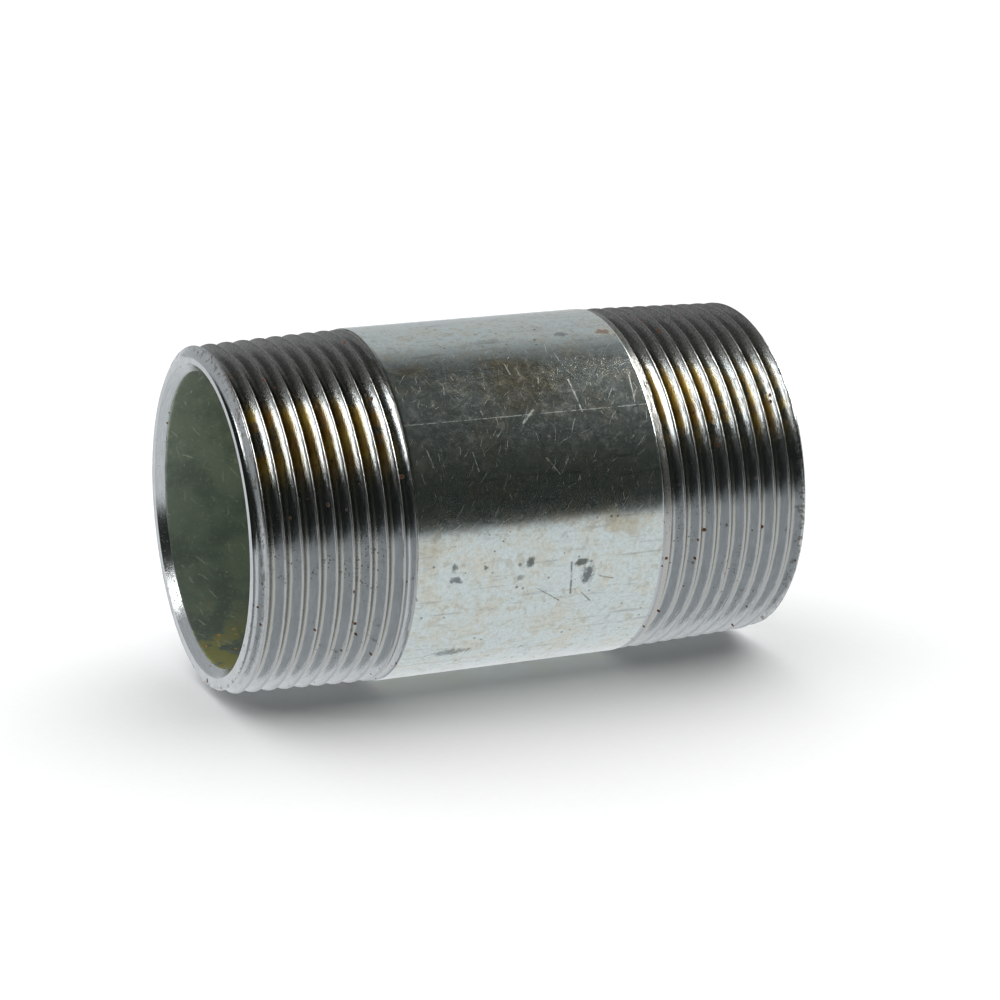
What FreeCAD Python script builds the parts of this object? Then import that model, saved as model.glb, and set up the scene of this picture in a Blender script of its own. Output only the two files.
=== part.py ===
"""Threaded pipe nipple: a short length of welded, galvanised steel pipe, size R 1 1/2 (DN 40),
with a taper pipe thread (11 turns to the inch, right-hand, 55 degree Whitworth form) on each end.

Frame: the pipe lies along +X, +Z is up, and the origin is the middle of its axis.
All lengths are in millimetres, and each end is worked out by its distance in from the end face.
"""
import FreeCAD, Part
import math
import os
from FreeCAD import Vector

# Pipe, before the threads are cut
PIPE_LENGTH = 80.0
PIPE_DIAMETER = 48.3
WALL = 4.0

# Taper thread, to the R 1 1/2 size
PITCH = 25.4 / 11
GAUGE_DIAMETER = 47.803
GAUGE_LENGTH = 12.7
TAPER = 1 / 16
THREAD_ANGLE = 55.0
THREAD_DEPTH = 0.640327 * PITCH
ROOT_RADIUS = 0.137329 * PITCH
FIRST_GROOVE = 2.27
FULL_TURNS = 9
RUNOUT_TURNS = 1.5
CUT_CLEARANCE = 0.15
CUT_TOLERANCE = 0.001

# Turned ends: bare steel runs from each end face to the edge of the zinc
TURNED_DIAMETER = 48.2
BARE_LEFT = 22.0
BARE_RIGHT = 22.6
FACE_DIAMETER = 45.4
OUTER_BEVEL = 0.85
INNER_CHAMFER = 1.1

# Weld, at an angle from the top towards the front (-Y), and zinc
WELD_ANGLE = 51.0
BEAD_HEIGHT = 0.20
BEAD_WIDTH = 1.6
WELD_DEPTH = 0.80
WELD_WIDTH = 2.4
OUTSIDE_ZINC = 0.10
BORE_ZINC = 0.08
ZINC_BEVEL = 0.05

HALF_LENGTH = PIPE_LENGTH / 2
PIPE_RADIUS = PIPE_DIAMETER / 2
TURNED_RADIUS = TURNED_DIAMETER / 2
BORE_RADIUS = PIPE_RADIUS - WALL
ALONG = Vector(1, 0, 0)
UP = Vector(0, 0, 1)
CENTRE = Vector(0, 0, 0)


def crest_radius(depth_in):
    """Radius of the thread's crest line, at a distance in from the end face."""
    return GAUGE_DIAMETER / 2 + (depth_in - GAUGE_LENGTH) * TAPER / 2


def turned(outline):
    """Solid of revolution about the pipe's axis, from (x, radius) corners."""
    corners = [Vector(x, 0, radius) for x, radius in outline]
    face = Part.Face(Part.makePolygon(corners + corners[:1]))
    return face.revolve(CENTRE, ALONG, 360)


def on_both_ends(left_cutter):
    """The cutter of the left end, and the same cutter on the right end.

    Half a turn about the vertical keeps a right-hand thread right-handed.
    """
    right_cutter = left_cutter.copy()
    right_cutter.rotate(CENTRE, UP, 180)
    return [left_cutter, right_cutter]


def groove_section(root_radius, depth_in):
    """Closed section of one thread groove: two flanks and a round root, open outwards."""
    half_angle = math.radians(THREAD_ANGLE / 2)
    arc_centre = root_radius + ROOT_RADIUS
    flank_foot = arc_centre - ROOT_RADIUS * math.sin(half_angle)
    foot_width = ROOT_RADIUS * math.cos(half_angle)
    mouth = root_radius + THREAD_DEPTH + CUT_CLEARANCE
    mouth_width = foot_width + (mouth - flank_foot) * math.tan(half_angle)
    before_mouth = Vector(mouth, 0, depth_in - mouth_width)
    before_foot = Vector(flank_foot, 0, depth_in - foot_width)
    root = Vector(root_radius, 0, depth_in)
    after_foot = Vector(flank_foot, 0, depth_in + foot_width)
    after_mouth = Vector(mouth, 0, depth_in + mouth_width)
    first_flank = Part.LineSegment(before_mouth, before_foot).toShape()
    round_root = Part.Arc(before_foot, root, after_foot).toShape()
    second_flank = Part.LineSegment(after_foot, after_mouth).toShape()
    top = Part.LineSegment(after_mouth, before_mouth).toShape()
    return Part.Wire([first_flank, round_root, second_flank, top])


def groove_cutter(depth_in, turns, root_radius, cone_angle):
    """Groove swept along a conical right-hand helix, which starts at the top of the pipe."""
    helix = Part.makeHelix(PITCH, turns * PITCH, root_radius, cone_angle)
    helix.translate(Vector(0, 0, depth_in))
    path = Part.Wire(helix.Edges)
    cutter = path.makePipeShell([groove_section(root_radius, depth_in)], True, True)
    cutter.rotate(CENTRE, Vector(1, 0, 1), 180)
    cutter.translate(Vector(-HALF_LENGTH, 0, 0))
    return cutter


def thread_cutters():
    """The full-depth turns of the left thread, and the turns where the die lifts out."""
    start = FIRST_GROOVE - 2 * PITCH
    full_end = start + FULL_TURNS * PITCH
    root_start = crest_radius(start) - THREAD_DEPTH
    root_end = crest_radius(full_end) - THREAD_DEPTH
    taper_angle = math.degrees(math.atan(TAPER / 2))
    lift = TURNED_RADIUS + CUT_CLEARANCE / 2 - root_end
    lift_angle = math.degrees(math.atan(lift / (RUNOUT_TURNS * PITCH)))
    full_turns = groove_cutter(start, FULL_TURNS, root_start, taper_angle)
    runout = groove_cutter(full_end, RUNOUT_TURNS, root_end, lift_angle)
    return [full_turns, runout]


def end_reamer():
    """Cone that the reamer takes out of the left end of the bore."""
    reach = INNER_CHAMFER + BORE_ZINC + BEAD_HEIGHT + CUT_CLEARANCE
    mouth_radius = BORE_RADIUS + INNER_CHAMFER
    return Part.makeCone(mouth_radius, mouth_radius - reach, reach, Vector(-HALF_LENGTH, 0, 0), ALONG)


def bore_fill(radius):
    """Solid cylinder along the whole axis."""
    return Part.makeCylinder(radius, PIPE_LENGTH, Vector(-HALF_LENGTH, 0, 0), ALONG)


def weld_fill(skin):
    """Prism along the weld: its flat-topped bead and its root in the wall, thicker by a skin."""
    angle = math.radians(WELD_ANGLE)
    outward = Vector(0, -math.sin(angle), math.cos(angle))
    sideways = Vector(0, math.cos(angle), math.sin(angle))
    centre_line = Vector(-HALF_LENGTH, 0, 0)
    bead_top = outward * (BORE_RADIUS - BEAD_HEIGHT - skin)
    weld_root = outward * (BORE_RADIUS + WELD_DEPTH)
    top_side = sideways * (BEAD_WIDTH / 2 + skin)
    root_side = sideways * (WELD_WIDTH / 2 + skin)
    corners = [bead_top - top_side, bead_top + top_side, weld_root + root_side, weld_root - root_side]
    placed = [centre_line + corner for corner in corners]
    section = Part.Face(Part.makePolygon(placed + placed[:1]))
    return section.extrude(ALONG * PIPE_LENGTH)


def steel_pipe():
    """Pipe wall with turned, bevelled and reamed ends and a thread on each end."""
    taper_end = GAUGE_LENGTH + (TURNED_DIAMETER - GAUGE_DIAMETER) / TAPER
    turned_end = [
        (0, BORE_RADIUS + INNER_CHAMFER),
        (0, FACE_DIAMETER / 2),
        (OUTER_BEVEL, crest_radius(OUTER_BEVEL)),
        (taper_end, TURNED_RADIUS),
    ]
    left_end = turned_end + [(BARE_LEFT, PIPE_RADIUS)]
    right_end = turned_end + [(BARE_RIGHT, PIPE_RADIUS)]
    left = [(depth_in - HALF_LENGTH, radius) for depth_in, radius in left_end]
    right = [(HALF_LENGTH - depth_in, radius) for depth_in, radius in reversed(right_end)]
    bore = [(HALF_LENGTH - INNER_CHAMFER, BORE_RADIUS), (INNER_CHAMFER - HALF_LENGTH, BORE_RADIUS)]
    pipe = turned(left + right + bore).cut(weld_fill(0))
    for cutter in thread_cutters():
        for end_cutter in on_both_ends(cutter):
            uncut = pipe.Volume
            pipe = pipe.cut(end_cutter, CUT_TOLERANCE)
            print("thread cut takes", round(uncut - pipe.Volume, 1), "mm3")
    return pipe


def weld_seam():
    """Weld metal between the strip's edges, with the low flat bead that stands in the bore."""
    seam = weld_fill(0)
    for reamer in on_both_ends(end_reamer()):
        seam = seam.cut(reamer)
    return seam


def zinc_sleeve():
    """Zinc on the outside of the pipe, between the two turned ends."""
    left = BARE_LEFT - HALF_LENGTH
    right = HALF_LENGTH - BARE_RIGHT
    outside = PIPE_RADIUS + OUTSIDE_ZINC
    return turned([
        (left, PIPE_RADIUS),
        (left, outside - ZINC_BEVEL),
        (left + ZINC_BEVEL, outside),
        (right - ZINC_BEVEL, outside),
        (right, outside - ZINC_BEVEL),
        (right, PIPE_RADIUS),
    ])


def zinc_lining():
    """Zinc in the bore, over the weld bead, cut back by the reamer at both ends."""
    steel_side = bore_fill(BORE_RADIUS).cut(weld_fill(0))
    open_side = bore_fill(BORE_RADIUS - BORE_ZINC).cut(weld_fill(BORE_ZINC))
    lining = steel_side.cut(open_side)
    for reamer in on_both_ends(end_reamer()):
        lining = lining.cut(reamer)
    return lining


def main():
    os.makedirs("parts", exist_ok=True)
    nodes = {
        "steel_pipe": steel_pipe(),
        "weld_seam": weld_seam(),
        "zinc_sleeve": zinc_sleeve(),
        "zinc_lining": zinc_lining(),
    }
    for name, shape in nodes.items():
        solid = shape.Solids[0]
        print(name, len(shape.Solids), "solid", solid.isValid(), round(solid.Volume, 1), "mm3")
        solid.exportStep("parts/" + name + ".step")


main()
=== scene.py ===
# %% [markdown]
# # A galvanised pipe nipple
# A nipple is a short length of steel pipe that joins two female fittings. This one is R 1 1/2:
# welded pipe 48 mm across and 80 mm long, dipped in molten zinc, then cut with a taper thread at
# each end. The die and the reamer took the zinc off wherever they cut, so the middle is mottled
# zinc and the ends are bare steel, dark and shiny with cutting oil.
#
# The CAD model fixes every size. The lesson loads it first and reads its sizes from it, so that
# each piece made here fits where the real one is.

# %% Load the CAD model
import math

import bmesh
import bpy
from mathutils import Matrix, Vector


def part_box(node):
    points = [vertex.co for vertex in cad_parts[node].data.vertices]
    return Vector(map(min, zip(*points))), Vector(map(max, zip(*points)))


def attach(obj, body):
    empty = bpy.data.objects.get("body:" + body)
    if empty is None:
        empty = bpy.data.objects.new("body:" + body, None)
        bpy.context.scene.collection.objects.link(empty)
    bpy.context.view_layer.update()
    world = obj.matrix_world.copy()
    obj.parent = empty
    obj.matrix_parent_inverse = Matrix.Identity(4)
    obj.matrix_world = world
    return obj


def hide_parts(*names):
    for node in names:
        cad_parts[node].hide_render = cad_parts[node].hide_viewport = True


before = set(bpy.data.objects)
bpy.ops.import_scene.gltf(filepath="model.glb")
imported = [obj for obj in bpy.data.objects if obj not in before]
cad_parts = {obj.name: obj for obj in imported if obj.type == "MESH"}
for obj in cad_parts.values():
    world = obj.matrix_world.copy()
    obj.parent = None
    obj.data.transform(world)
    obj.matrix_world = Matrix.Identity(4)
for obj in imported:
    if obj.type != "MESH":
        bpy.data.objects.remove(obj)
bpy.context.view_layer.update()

MM = 0.001

# %% [markdown]
# ## Sizes
# Lengths along the pipe come from the boxes of the CAD nodes. The thread's own numbers are the
# standard ones for R 1 1/2: 11 turns to the inch, a 55 degree Whitworth form with round crests
# and roots, and a taper of 1 in 16. "Depth in" always means the distance in from an end face.

# %% Read the sizes
pipe_low, pipe_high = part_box("steel_pipe")
sleeve_low, sleeve_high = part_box("zinc_sleeve")
lining_low, lining_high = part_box("zinc_lining")
HALF_LENGTH = pipe_high.x
BARE_LEFT = sleeve_low.x - pipe_low.x
BARE_RIGHT = pipe_high.x - sleeve_high.x
SLEEVE_RADIUS = sleeve_high.y
PIPE_RADIUS = pipe_high.y
BORE_RADIUS = lining_high.y

PITCH = 25.4 * MM / 11
HALF_ANGLE = math.radians(27.5)
CREST_ROUNDING = 0.17 * MM
ROOT_ROUNDING = 0.46 * MM
SHARP_DEPTH = PITCH / 2 / math.tan(HALF_ANGLE)
THREAD_DEPTH = SHARP_DEPTH - (CREST_ROUNDING + ROOT_ROUNDING) * (1 / math.sin(HALF_ANGLE) - 1)
TAPER = 1 / 16
CREST_AT_FACE = (47.803 * MM - 12.7 * MM * TAPER) / 2
TURNED_RADIUS = 24.1 * MM
FIRST_CREST = 2.27 * MM - PITCH / 2
LIFT_LENGTH = 1.4 * MM
LIFT_SHARE = 0.8
STOCK_BLEND = 0.15 * MM
CREST_BLEND = 0.05 * MM
FACE_RADIUS = 22.7 * MM
MOUTH_RADIUS = BORE_RADIUS + 1.1 * MM
CHAMFER = 1.1 * MM
print("bare ends", round(BARE_LEFT / MM, 2), "and", round(BARE_RIGHT / MM, 2), "mm, crests",
      round(2 * CREST_AT_FACE / MM, 2), "mm across at the face")

# %% [markdown]
# ## A helper for node trees
# Both the shapes and the finishes are node trees. Wiring one by hand takes a line for each node
# and a line for each link. This small class takes the feeds of a node together: a feed is either
# a plain value or the socket of another node. "made" gives a node's first output straight away,
# and a colour may be given as three numbers.

# %% Graph, a node tree being wired


class Graph:
    def __init__(self, tree):
        self.tree = tree

    def node(self, kind, feeds=(), **settings):
        node = self.tree.nodes.new(kind)
        for name, value in settings.items():
            setattr(node, name, value)
        pairs = feeds.items() if isinstance(feeds, dict) else enumerate(feeds)
        for key, value in pairs:
            self.feed(node.inputs[key], value)
        return node

    def feed(self, socket, value):
        if isinstance(value, bpy.types.NodeSocket):
            self.tree.links.new(value, socket)
        elif value is not None:
            socket.default_value = (*value, 1.0) if socket.type == "RGBA" else value

    def made(self, kind, feeds=(), **settings):
        return self.node(kind, feeds, **settings).outputs[0]

    def math(self, operation, *values):
        return self.made("ShaderNodeMath", values, operation=operation)

    def times(self, first, second):
        return self.math("MULTIPLY", first, second)

    def plus(self, first, second):
        return self.math("ADD", first, second)

    def minus(self, first, second):
        return self.math("SUBTRACT", first, second)

    def vectors(self, operation, first, second):
        feeds = {0: first, (3 if operation == "SCALE" else 1): second}
        return self.made("ShaderNodeVectorMath", feeds, operation=operation)

    def split(self, vector):
        return self.node("ShaderNodeSeparateXYZ", (vector,)).outputs

    def remap(self, value, low, high, to_low=0.0, to_high=1.0, smooth=True):
        kind = "SMOOTHSTEP" if smooth else "LINEAR"
        feeds = (value, low, high, to_low, to_high)
        return self.made("ShaderNodeMapRange", feeds, interpolation_type=kind)

    def colour(self, factor, first, second):
        feeds = {0: factor, 6: first, 7: second}
        return self.node("ShaderNodeMix", feeds, data_type="RGBA").outputs[2]

    def vector(self, x, y, z):
        return self.made("ShaderNodeCombineXYZ", (x, y, z))

    def noise(self, vector, scale, detail=2.0, roughness=0.5, distortion=0.0):
        feeds = {"Vector": vector, "Scale": scale, "Detail": detail,
                 "Roughness": roughness, "Distortion": distortion}
        return self.made("ShaderNodeTexNoise", feeds)

    def group(self, tree, **feeds):
        node = self.node(type(self).kinds[self.tree.type], node_tree=tree)
        for name, value in feeds.items():
            self.feed(node.inputs[name.replace("_", " ")], value)
        return node.outputs

    kinds = {"GEOMETRY": "GeometryNodeGroup", "SHADER": "ShaderNodeGroup"}


def new_group(kind, name, inputs, outputs):
    """A node group with named sockets: numbers to start from, or a kind of socket."""
    graph = Graph(bpy.data.node_groups.new(name, kind))
    for label, default in inputs.items():
        socket = "Int" if isinstance(default, int) else "Float"
        if isinstance(default, str):
            socket, default = default, None
        made = graph.tree.interface.new_socket(
            name=label, in_out="INPUT", socket_type="NodeSocket" + socket)
        if default is not None:
            made.default_value = default
    for label, socket in outputs.items():
        graph.tree.interface.new_socket(
            name=label, in_out="OUTPUT", socket_type="NodeSocket" + socket)
    graph.given = graph.node("NodeGroupInput").outputs
    graph.result = graph.node("NodeGroupOutput").inputs
    return graph


# %% [markdown]
# ## Thread form
# A screw thread follows one rule: at every point, look at how far it is along the pipe and how
# far round, and the rule says how far out the metal stands. Geometry Nodes can hold that rule
# once and use it for both ends.
#
# The form is measured from the nearest crest. Close to a crest and close to a root it is a
# circular arc, and between them a straight flank. A worn die leaves tighter crests and rounder
# roots than the standard draws. It lifts out just before the zinc, so the form rises there.

# %% The thread's rule, as a group


def thread_form_group():
    graph = new_group(
        "GeometryNodeTree", "Thread form",
        {"Depth in": 0.0, "Share of turn": 0.0,
         "Pitch": PITCH, "First crest": FIRST_CREST,
         "Thread depth": THREAD_DEPTH, "Crest rounding": CREST_ROUNDING,
         "Root rounding": ROOT_ROUNDING, "Crest at face": CREST_AT_FACE,
         "Taper": TAPER, "Bare length": BARE_LEFT,
         "Lift length": LIFT_LENGTH,
         "Turned radius": TURNED_RADIUS, "Face radius": FACE_RADIUS},
        {"Radius": "Float", "Groove": "Float"})
    given, maths = graph.given, graph.math
    depth_in, pitch = given["Depth in"], given["Pitch"]
    crest_round, root_round = given["Crest rounding"], given["Root rounding"]
    turns = maths("DIVIDE", graph.minus(depth_in, given["First crest"]), pitch)
    turns = graph.minus(turns, given["Share of turn"])
    to_crest = graph.minus(turns, maths("ROUND", turns))
    to_crest = graph.times(maths("ABSOLUTE", to_crest), pitch)
    to_root = graph.minus(graph.times(pitch, 0.5), to_crest)

    def arc_height(rounding, across):
        square = graph.minus(graph.times(rounding, rounding), graph.times(across, across))
        return maths("SQRT", maths("MAXIMUM", square, 0.0))

    crest_arc = graph.minus(crest_round, arc_height(crest_round, to_crest))
    root_arc = graph.minus(given["Thread depth"], root_round)
    root_arc = graph.plus(root_arc, arc_height(root_round, to_root))
    crest_reach = graph.times(crest_round, math.cos(HALF_ANGLE))
    root_reach = graph.times(root_round, math.cos(HALF_ANGLE))
    down_flank = maths("DIVIDE", graph.minus(to_crest, crest_reach), math.tan(HALF_ANGLE))
    flank = maths("MULTIPLY_ADD", crest_round, 1 - math.sin(HALF_ANGLE), down_flank)
    near_crest = maths("LESS_THAN", to_crest, crest_reach)
    near_root = maths("LESS_THAN", to_root, root_reach)
    down = graph.node("GeometryNodeSwitch", (near_root, flank, root_arc), input_type="FLOAT")
    down = graph.node("GeometryNodeSwitch", (near_crest, down.outputs[0], crest_arc),
                      input_type="FLOAT").outputs[0]

    to_zinc = graph.minus(given["Bare length"], depth_in)
    lift = graph.remap(to_zinc, given["Lift length"], 0.0, 0.0, given["Thread depth"], smooth=False)
    lift = graph.times(lift, LIFT_SHARE)
    taper_rise = graph.times(depth_in, graph.times(given["Taper"], 0.5))
    crest_line = graph.plus(given["Crest at face"], taper_rise)
    thread = graph.plus(graph.minus(crest_line, down), lift)
    bevel = graph.plus(given["Face radius"], depth_in)
    stock = maths("SMOOTH_MIN", given["Turned radius"], bevel, STOCK_BLEND)
    radius = maths("SMOOTH_MIN", stock, thread, CREST_BLEND)
    below = graph.minus(maths("MINIMUM", crest_line, given["Turned radius"]), radius)
    graph.feed(graph.result["Radius"], radius)
    graph.feed(graph.result["Groove"], maths("DIVIDE", below, given["Thread depth"]))
    return graph.tree


thread_form = thread_form_group()
print("thread form:", len(thread_form.nodes), "nodes, groove", round(THREAD_DEPTH / MM, 3), "mm deep")

# %% [markdown]
# ## One threaded end
# The end is a sheet of rows and columns rolled round the pipe. The rows are sheared so that each
# one follows the helix: a crest then always lies along a row, and its highlight is a clean line
# and not a staircase. The rows are also pulled together near the crests and the roots, where the
# form bends most.
#
# Rows that would run off the end face, or under the zinc, are held at that edge and merge there.
# The open edges are then drawn on, ring by ring: over the end face, down the reamed chamfer and
# along the bore at one end, and under the zinc at the other, as far as the middle of the pipe.
# Slow noise makes nicks in the crests, as a die and a toolbox leave them.

# %% The end's rule, as a group
TURNS_LAID = 12
TURNS_BEFORE = 2
CREST_CROWDING = 0.55
MERGE_DISTANCE = 0.002 * MM
NICK_DEPTH = 0.16 * MM
CHATTER = 0.03 * MM
FACE_STEP = 0.7 * MM
BREAK_EDGE = 0.04 * MM
RIGHT_SHIFT = 0.3 * MM
RIGHT_SEED = 300.0


def position(graph):
    """The x, y and z of each point."""
    return graph.split(graph.made("GeometryNodeInputPosition"))


def open_edges(graph):
    """True on an edge with fewer than two faces."""
    return graph.math("LESS_THAN", graph.made("GeometryNodeInputMeshEdgeNeighbors"), 1.5)


def merged(graph, mesh):
    """The mesh, with points that lie together made one."""
    feeds = {"Geometry": mesh, "Distance": MERGE_DISTANCE}
    return graph.made("GeometryNodeMergeByDistance", feeds)


def moved(graph, mesh, place):
    """The mesh, with its points put in their places."""
    return graph.made("GeometryNodeSetPosition", {"Geometry": mesh, "Position": place})


def finished(graph, mesh, material):
    """The mesh of a whole piece, with nothing instanced and its material on."""
    mesh = graph.made("GeometryNodeRealizeInstances", (mesh,))
    return graph.made("GeometryNodeSetMaterial", {"Geometry": mesh, "Material": material})


def draw_on(graph, mesh, edge, x, radius):
    """Extrude an open edge onto the circle of that radius at x, or where it is if x is None.

    Gives the mesh and its new edge."""
    feeds = {"Mesh": mesh, "Selection": edge, "Offset Scale": 0.0}
    grown = graph.node("GeometryNodeExtrudeMesh", feeds, mode="EDGES")
    place = position(graph)
    y, z = place[1], place[2]
    reach = graph.plus(graph.times(y, y), graph.times(z, z))
    scale = graph.math("DIVIDE", radius, graph.math("SQRT", reach))
    x = place[0] if x is None else x
    target = graph.vector(x, graph.times(y, scale), graph.times(z, scale))
    feeds = {"Geometry": grown.outputs["Mesh"], "Selection": grown.outputs["Top"], "Position": target}
    return graph.made("GeometryNodeSetPosition", feeds), grown.outputs["Top"]


def rolled_sheet(graph, rows, columns):
    """A grid of unit size, with how far each point is along and round it, both from 0 to 1."""
    sheet = graph.made("GeometryNodeMeshGrid", (1.0, 1.0, rows, columns))
    place = position(graph)
    return sheet, graph.plus(place[0], 0.5), graph.plus(place[1], 0.5)


def round_pipe(graph, x, radius, share_of_turn):
    """The place at x and a radius, a share of a turn from the top towards the front."""
    turn = graph.times(share_of_turn, math.tau)
    y = graph.times(graph.times(graph.math("SINE", turn), radius), -1.0)
    return graph.vector(x, y, graph.times(graph.math("COSINE", turn), radius))


def threaded_end_group():
    graph = new_group(
        "GeometryNodeTree", "Threaded end",
        {"Bare length": BARE_LEFT, "Half length": HALF_LENGTH,
         "Rows per turn": 20, "Columns": 192, "Pitch": PITCH,
         "First crest": FIRST_CREST, "Pipe radius": PIPE_RADIUS,
         "Bore radius": BORE_RADIUS, "Mouth radius": MOUTH_RADIUS,
         "Chamfer": CHAMFER, "Nick depth": NICK_DEPTH, "Seed": 0.0},
        {"Geometry": "Geometry"})
    given, maths = graph.given, graph.math
    rows = maths("MULTIPLY_ADD", given["Rows per turn"], TURNS_LAID, 1)
    sheet, along, share = rolled_sheet(graph, rows, graph.plus(given["Columns"], 1))
    turn = maths("MULTIPLY_ADD", along, TURNS_LAID, -TURNS_BEFORE)
    crowd = maths("SINE", graph.times(turn, 2 * math.tau))
    turn = maths("MULTIPLY_ADD", crowd, -CREST_CROWDING / (2 * math.tau), turn)
    depth_in = maths("MULTIPLY_ADD", graph.plus(turn, share), given["Pitch"], given["First crest"])
    depth_in = maths("MINIMUM", maths("MAXIMUM", depth_in, 0.0), given["Bare length"])
    form = graph.group(thread_form, **{
        "Depth in": depth_in, "Share of turn": share, "First crest": given["First crest"],
        "Bare length": given["Bare length"]})

    in_mm = maths("DIVIDE", depth_in, MM)
    solid = round_pipe(graph, graph.plus(in_mm, given["Seed"]), PIPE_RADIUS / MM, share)
    crest = graph.remap(form["Groove"], 0.5, 0.0)
    nicks = graph.remap(graph.noise(solid, 0.8, 3.0, 0.6), 0.63, 0.75)
    nicks = graph.times(graph.times(nicks, crest), given["Nick depth"])
    chatter = graph.minus(graph.noise(solid, 1.7, 2.0), 0.5)
    radius = graph.minus(form["Radius"], nicks)
    radius = maths("MULTIPLY_ADD", chatter, CHATTER, radius)
    x = graph.minus(depth_in, given["Half length"])
    place = round_pipe(graph, x, radius, share)
    feeds = {"Geometry": sheet, "Name": "groove", "Value": form["Groove"]}
    mesh = graph.made("GeometryNodeStoreNamedAttribute", feeds)
    mesh = merged(graph, moved(graph, mesh, place))

    is_open = open_edges(graph)
    at_left = maths("LESS_THAN", position(graph)[0], graph.times(given["Half length"], -0.999))
    rim = graph.times(is_open, at_left)
    zinc_edge = graph.times(is_open, graph.minus(1.0, at_left))
    face_x = graph.times(given["Half length"], -1.0)
    edge_x = graph.plus(face_x, given["Bare length"])
    mesh, under = draw_on(graph, mesh, zinc_edge, edge_x, given["Pipe radius"])
    mesh, under = draw_on(graph, mesh, under, 0.0, given["Pipe radius"])
    mouth_radius = given["Mouth radius"]
    rings = [  # how far in from the face, radius
        (None, graph.plus(mouth_radius, FACE_STEP)),
        (None, graph.plus(mouth_radius, BREAK_EDGE)),
        (BREAK_EDGE, mouth_radius),
        (given["Chamfer"], given["Bore radius"])]
    mouth = rim
    for inward, radius in rings:
        x = face_x if inward is None else graph.plus(face_x, inward)
        mesh, mouth = draw_on(graph, mesh, mouth, x, radius)
    mesh, mouth = draw_on(graph, mesh, mouth, 0.0, given["Bore radius"])
    graph.feed(graph.result["Geometry"], mesh)
    return graph.tree


threaded_end = threaded_end_group()
print("threaded end:", len(threaded_end.nodes), "nodes")

# %% [markdown]
# ## From a tree to a piece
# A tree runs as a modifier on an empty mesh. The result is taken as a plain mesh, so that every
# other tool sees ordinary geometry. Its normals are then turned outwards, and the corners that
# are sharp on the real metal are marked sharp, so that the round parts can be shaded smooth.

# %% Growing a piece


def grow(name, tree, sizes):
    """Run a tree with the given input values and keep the result as a plain mesh object."""
    sprout = bpy.data.objects.new(name + "_tree", bpy.data.meshes.new(name + "_tree"))
    bpy.context.scene.collection.objects.link(sprout)
    modifier = sprout.modifiers.new("Grow", "NODES")
    modifier.node_group = tree
    for item in tree.interface.items_tree:
        if item.in_out == "INPUT" and item.name in sizes:
            modifier[item.identifier] = sizes[item.name]
    depsgraph = bpy.context.evaluated_depsgraph_get()
    mesh = bpy.data.meshes.new_from_object(sprout.evaluated_get(depsgraph), depsgraph=depsgraph)
    bpy.data.objects.remove(sprout)
    piece = bpy.data.objects.new(name, mesh)
    bpy.context.scene.collection.objects.link(piece)
    return piece


def face_outwards(piece, sharp_angle=38.0):
    """Turn the normals of a closed piece outwards, mark its sharp corners and print its facts."""
    work = bmesh.new()
    work.from_mesh(piece.data)
    bmesh.ops.dissolve_degenerate(work, edges=work.edges, dist=MERGE_DISTANCE / 4)
    bmesh.ops.recalc_face_normals(work, faces=work.faces)
    if work.calc_volume(signed=True) < 0:
        bmesh.ops.reverse_faces(work, faces=work.faces)
    open_edges = sum(1 for edge in work.edges if len(edge.link_faces) != 2)
    volume = work.calc_volume()
    work.to_mesh(piece.data)
    work.free()
    piece.data.shade_smooth()
    piece.data.set_sharp_from_angle(angle=math.radians(sharp_angle))
    triangles = sum(len(face.vertices) - 2 for face in piece.data.polygons)
    print(piece.name, triangles, "triangles,", open_edges, "open edges,", round(volume * 1e6, 2), "cm3")


# %% [markdown]
# ## The steel pipe
# The pipe is two threaded ends that meet in the middle. The second end is the first one turned
# half round about the vertical: a turn keeps the thread right-handed, where a mirror would not.

# %% The steel pipe


def threaded_pipe_tree():
    graph = new_group(
        "GeometryNodeTree", "Threaded pipe",
        {"Bare left": BARE_LEFT, "Bare right": BARE_RIGHT,
         "Rows per turn": 20, "Columns": 192, "Material": "Material"},
        {"Geometry": "Geometry"})
    given = graph.given
    shared = {"Rows per turn": given["Rows per turn"], "Columns": given["Columns"]}
    left = graph.group(threaded_end, **{"Bare length": given["Bare left"], "Seed": 0.0}, **shared)
    right = graph.group(threaded_end, **{"Bare length": given["Bare right"], "Seed": RIGHT_SEED,
                                         "First crest": FIRST_CREST + RIGHT_SHIFT}, **shared)
    feeds = {"Geometry": right["Geometry"], "Rotation": (0.0, 0.0, math.pi)}
    right = graph.made("GeometryNodeTransform", feeds)
    joined = graph.node("GeometryNodeJoinGeometry", (left["Geometry"],))
    graph.feed(joined.inputs[0], right)
    whole = finished(graph, merged(graph, joined.outputs[0]), given["Material"])
    graph.feed(graph.result["Geometry"], whole)
    return graph.tree


bare_steel = bpy.data.materials.new("cut_steel")
pipe = grow("threaded_pipe", threaded_pipe_tree(), {
    "Bare left": BARE_LEFT, "Bare right": BARE_RIGHT, "Material": bare_steel})
face_outwards(pipe)

# %% [markdown]
# ## The zinc
# The dip leaves a skin of zinc a tenth of a millimetre thick, inside and out. It isn't as even
# as it sounds: it wrinkles and runs a little as it drains, and it rounds off at the line where
# the die cut it away. One rule makes both skins. The outside one faces out and the lining faces
# in, and the lining also rides over the bead of the pipe's welded seam.
#
# The skin is a rolled sheet again, with slow and quick noise for its lumps. Its edges are drawn
# round to the back, so that it is a closed shell that sits on the steel.

# %% The zinc skin, as a tree
WELD_ANGLE = 51.0
WELD_BEAD = 0.2 * MM
BORE_ZINC = 0.08 * MM
TUCK = 0.02 * MM
EDGE_CROWDING = 0.8


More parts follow.
